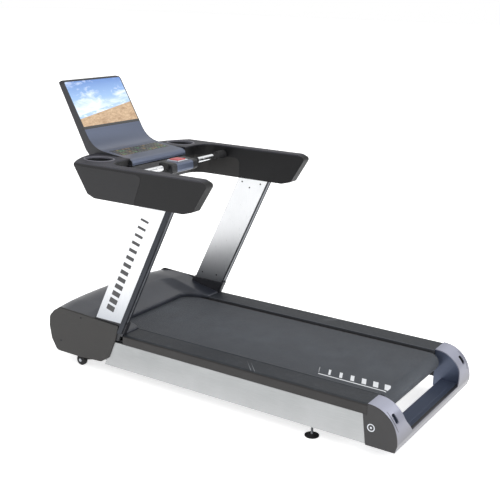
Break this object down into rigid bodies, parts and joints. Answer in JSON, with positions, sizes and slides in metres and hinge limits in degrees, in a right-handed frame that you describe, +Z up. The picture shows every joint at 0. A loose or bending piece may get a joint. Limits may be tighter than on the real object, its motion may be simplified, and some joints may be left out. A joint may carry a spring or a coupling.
{
  "type": "treadmill",
  "caption": "Motorised gym treadmill: belt deck between foot rails, front motor hood, leaning uprights, side arms, grip bar with stop button and a tilted screen console.",
  "frame": {"origin": "middle of the footprint at floor level, under the levelling feet and the transport wheels", "axes": "+Z up, +Y along the belt towards the console, +X to the runner's right when facing the console"},
  "size_m": [0.96, 2.164, 1.503],
  "materials": {
    "painted_steel": "satin powder coat",
    "bright_steel": "turned",
    "chrome": "polished",
    "silver_aluminium": "brushed anodised",
    "dark_plastic": "fine leather-grain moulding",
    "rail_plastic": "fine texture",
    "hood_plastic": "satin slate",
    "cap_plastic": "metallic lilac-grey paint",
    "face_plate": "metallic blue-silver paint",
    "belt_fabric": "fine cross-hatched PVC",
    "deck_board": "phenolic-faced board",
    "rubber": "matt",
    "display_glass": "lit picture behind glass",
    "black_gloss": "gloss",
    "stop_red": "satin red",
    "circuit_board": "solder mask"
  },
  "bodies": {
    "base": {"arm_shell_left": "dark_plastic", "arm_shell_right": "dark_plastic", "belly_pan": "dark_plastic", "console_beam": "dark_plastic", "console_crossbar": "painted_steel", "console_face_plate": "face_plate", "console_housing": "dark_plastic", "control_board": "circuit_board", "deck_crossbar_front": "painted_steel", "deck_crossbar_rear": "painted_steel", "deck_cushion_front_left": "rubber", "deck_cushion_front_right": "rubber", "deck_cushion_rear_left": "rubber", "deck_cushion_rear_right": "rubber", "display_panel": "display_glass", "drive_belt": "rubber", "foot_rail_left": "rail_plastic", "foot_rail_right": "rail_plastic", "frame_rail_left": "painted_steel", "frame_rail_right": "painted_steel", "front_cross_member": "painted_steel", "front_roller_shaft": "bright_steel", "grip_bar": "rubber", "grip_sleeve_left": "chrome", "grip_sleeve_right": "chrome", "hood_top": "hood_plastic", "keypad_panel": "black_gloss", "mast_core_left": "painted_steel", "mast_core_right": "painted_steel", "mast_inner_plate_left": "silver_aluminium", "mast_inner_plate_right": "silver_aluminium", "mast_outer_plate_left": "silver_aluminium", "mast_outer_plate_right": "silver_aluminium", "motor_controller": "silver_aluminium", "motor_housing": "painted_steel", "motor_plate": "painted_steel", "power_inlet_panel": "dark_plastic", "rear_cross_member": "painted_steel", "rear_end_cap": "cap_plastic", "rear_roller_shaft": "bright_steel", "rear_tray": "face_plate", "running_belt": "belt_fabric", "running_deck": "deck_board", "side_cover_left": "dark_plastic", "side_cover_right": "dark_plastic", "side_panel_left": "silver_aluminium", "side_panel_right": "silver_aluminium", "stop_box": "face_plate"},
    "rear_roller": {"rear_roller": "bright_steel"},
    "front_roller": {"front_roller": "bright_steel"},
    "motor_rotor": {"motor_rotor": "bright_steel"},
    "lift_frame": {"lift_frame": "painted_steel"},
    "wheel_left": {"transport_wheel_left": "rubber"},
    "wheel_right": {"transport_wheel_right": "rubber"},
    "actuator_body": {"actuator_body": "painted_steel"},
    "actuator_rod": {"actuator_rod": "bright_steel"},
    "stop_button": {"stop_button": "stop_red"},
    "power_switch": {"power_switch": "black_gloss"},
    "foot_left": {"levelling_foot_left": "rubber"},
    "foot_right": {"levelling_foot_right": "rubber"}
  },
  "joints": [
    {"name": "front_roller_spin", "type": "hinge", "parent": "base", "child": "front_roller", "pos_m": [0, 0.665, 0.1963], "axis": [1, 0, 0], "continuous": true},
    {"name": "rear_roller_spin", "type": "hinge", "parent": "base", "child": "rear_roller", "pos_m": [0, -0.918, 0.1963], "axis": [1, 0, 0], "continuous": true},
    {"name": "motor_spin", "type": "hinge", "parent": "base", "child": "motor_rotor", "pos_m": [0, 0.806, 0.182], "axis": [1, 0, 0], "continuous": true},
    {"name": "incline_lift", "type": "hinge", "parent": "base", "child": "lift_frame", "pos_m": [0, 0.475, 0.122], "axis": [-1, 0, 0], "range_deg": [0, 50]},
    {"name": "wheel_left_spin", "type": "hinge", "parent": "lift_frame", "child": "wheel_left", "pos_m": [-0.415, 0.795, 0.03], "axis": [1, 0, 0], "continuous": true},
    {"name": "wheel_right_spin", "type": "hinge", "parent": "lift_frame", "child": "wheel_right", "pos_m": [0.415, 0.795, 0.03], "axis": [1, 0, 0], "continuous": true},
    {"name": "actuator_swing", "type": "hinge", "parent": "base", "child": "actuator_body", "pos_m": [0, 0.85, 0.088], "axis": [-1, 0, 0], "range_deg": [0, 3.2]},
    {"name": "actuator_extend", "type": "slide", "parent": "actuator_body", "child": "actuator_rod", "axis": [0, -0.9983, -0.0586], "range_m": [0, 0.0425]},
    {"name": "stop_press", "type": "slide", "parent": "base", "child": "stop_button", "axis": [0, 0, -1], "range_m": [0, 0.003], "stiffness_N_per_m": 1200, "springref_m": -0.002},
    {"name": "power_rocker", "type": "hinge", "parent": "base", "child": "power_switch", "pos_m": [-0.245, 0.955, 0.121], "axis": [1, 0, 0], "range_deg": [0, 12]},
    {"name": "foot_left_adjust", "type": "slide", "parent": "base", "child": "foot_left", "axis": [0, 0, -1], "range_m": [0, 0.012]},
    {"name": "foot_right_adjust", "type": "slide", "parent": "base", "child": "foot_right", "axis": [0, 0, -1], "range_m": [0, 0.012]}
  ],
  "couplings": [
    {"joint": "rear_roller_spin", "follows": "front_roller_spin", "ratio": 1},
    {"joint": "motor_spin", "follows": "front_roller_spin", "ratio": 2},
    {"joint": "actuator_swing", "follows": "incline_lift", "ratio": 0.061677},
    {"joint": "actuator_extend", "follows": "incline_lift", "m_per_rad": 0.048424}
  ]
}
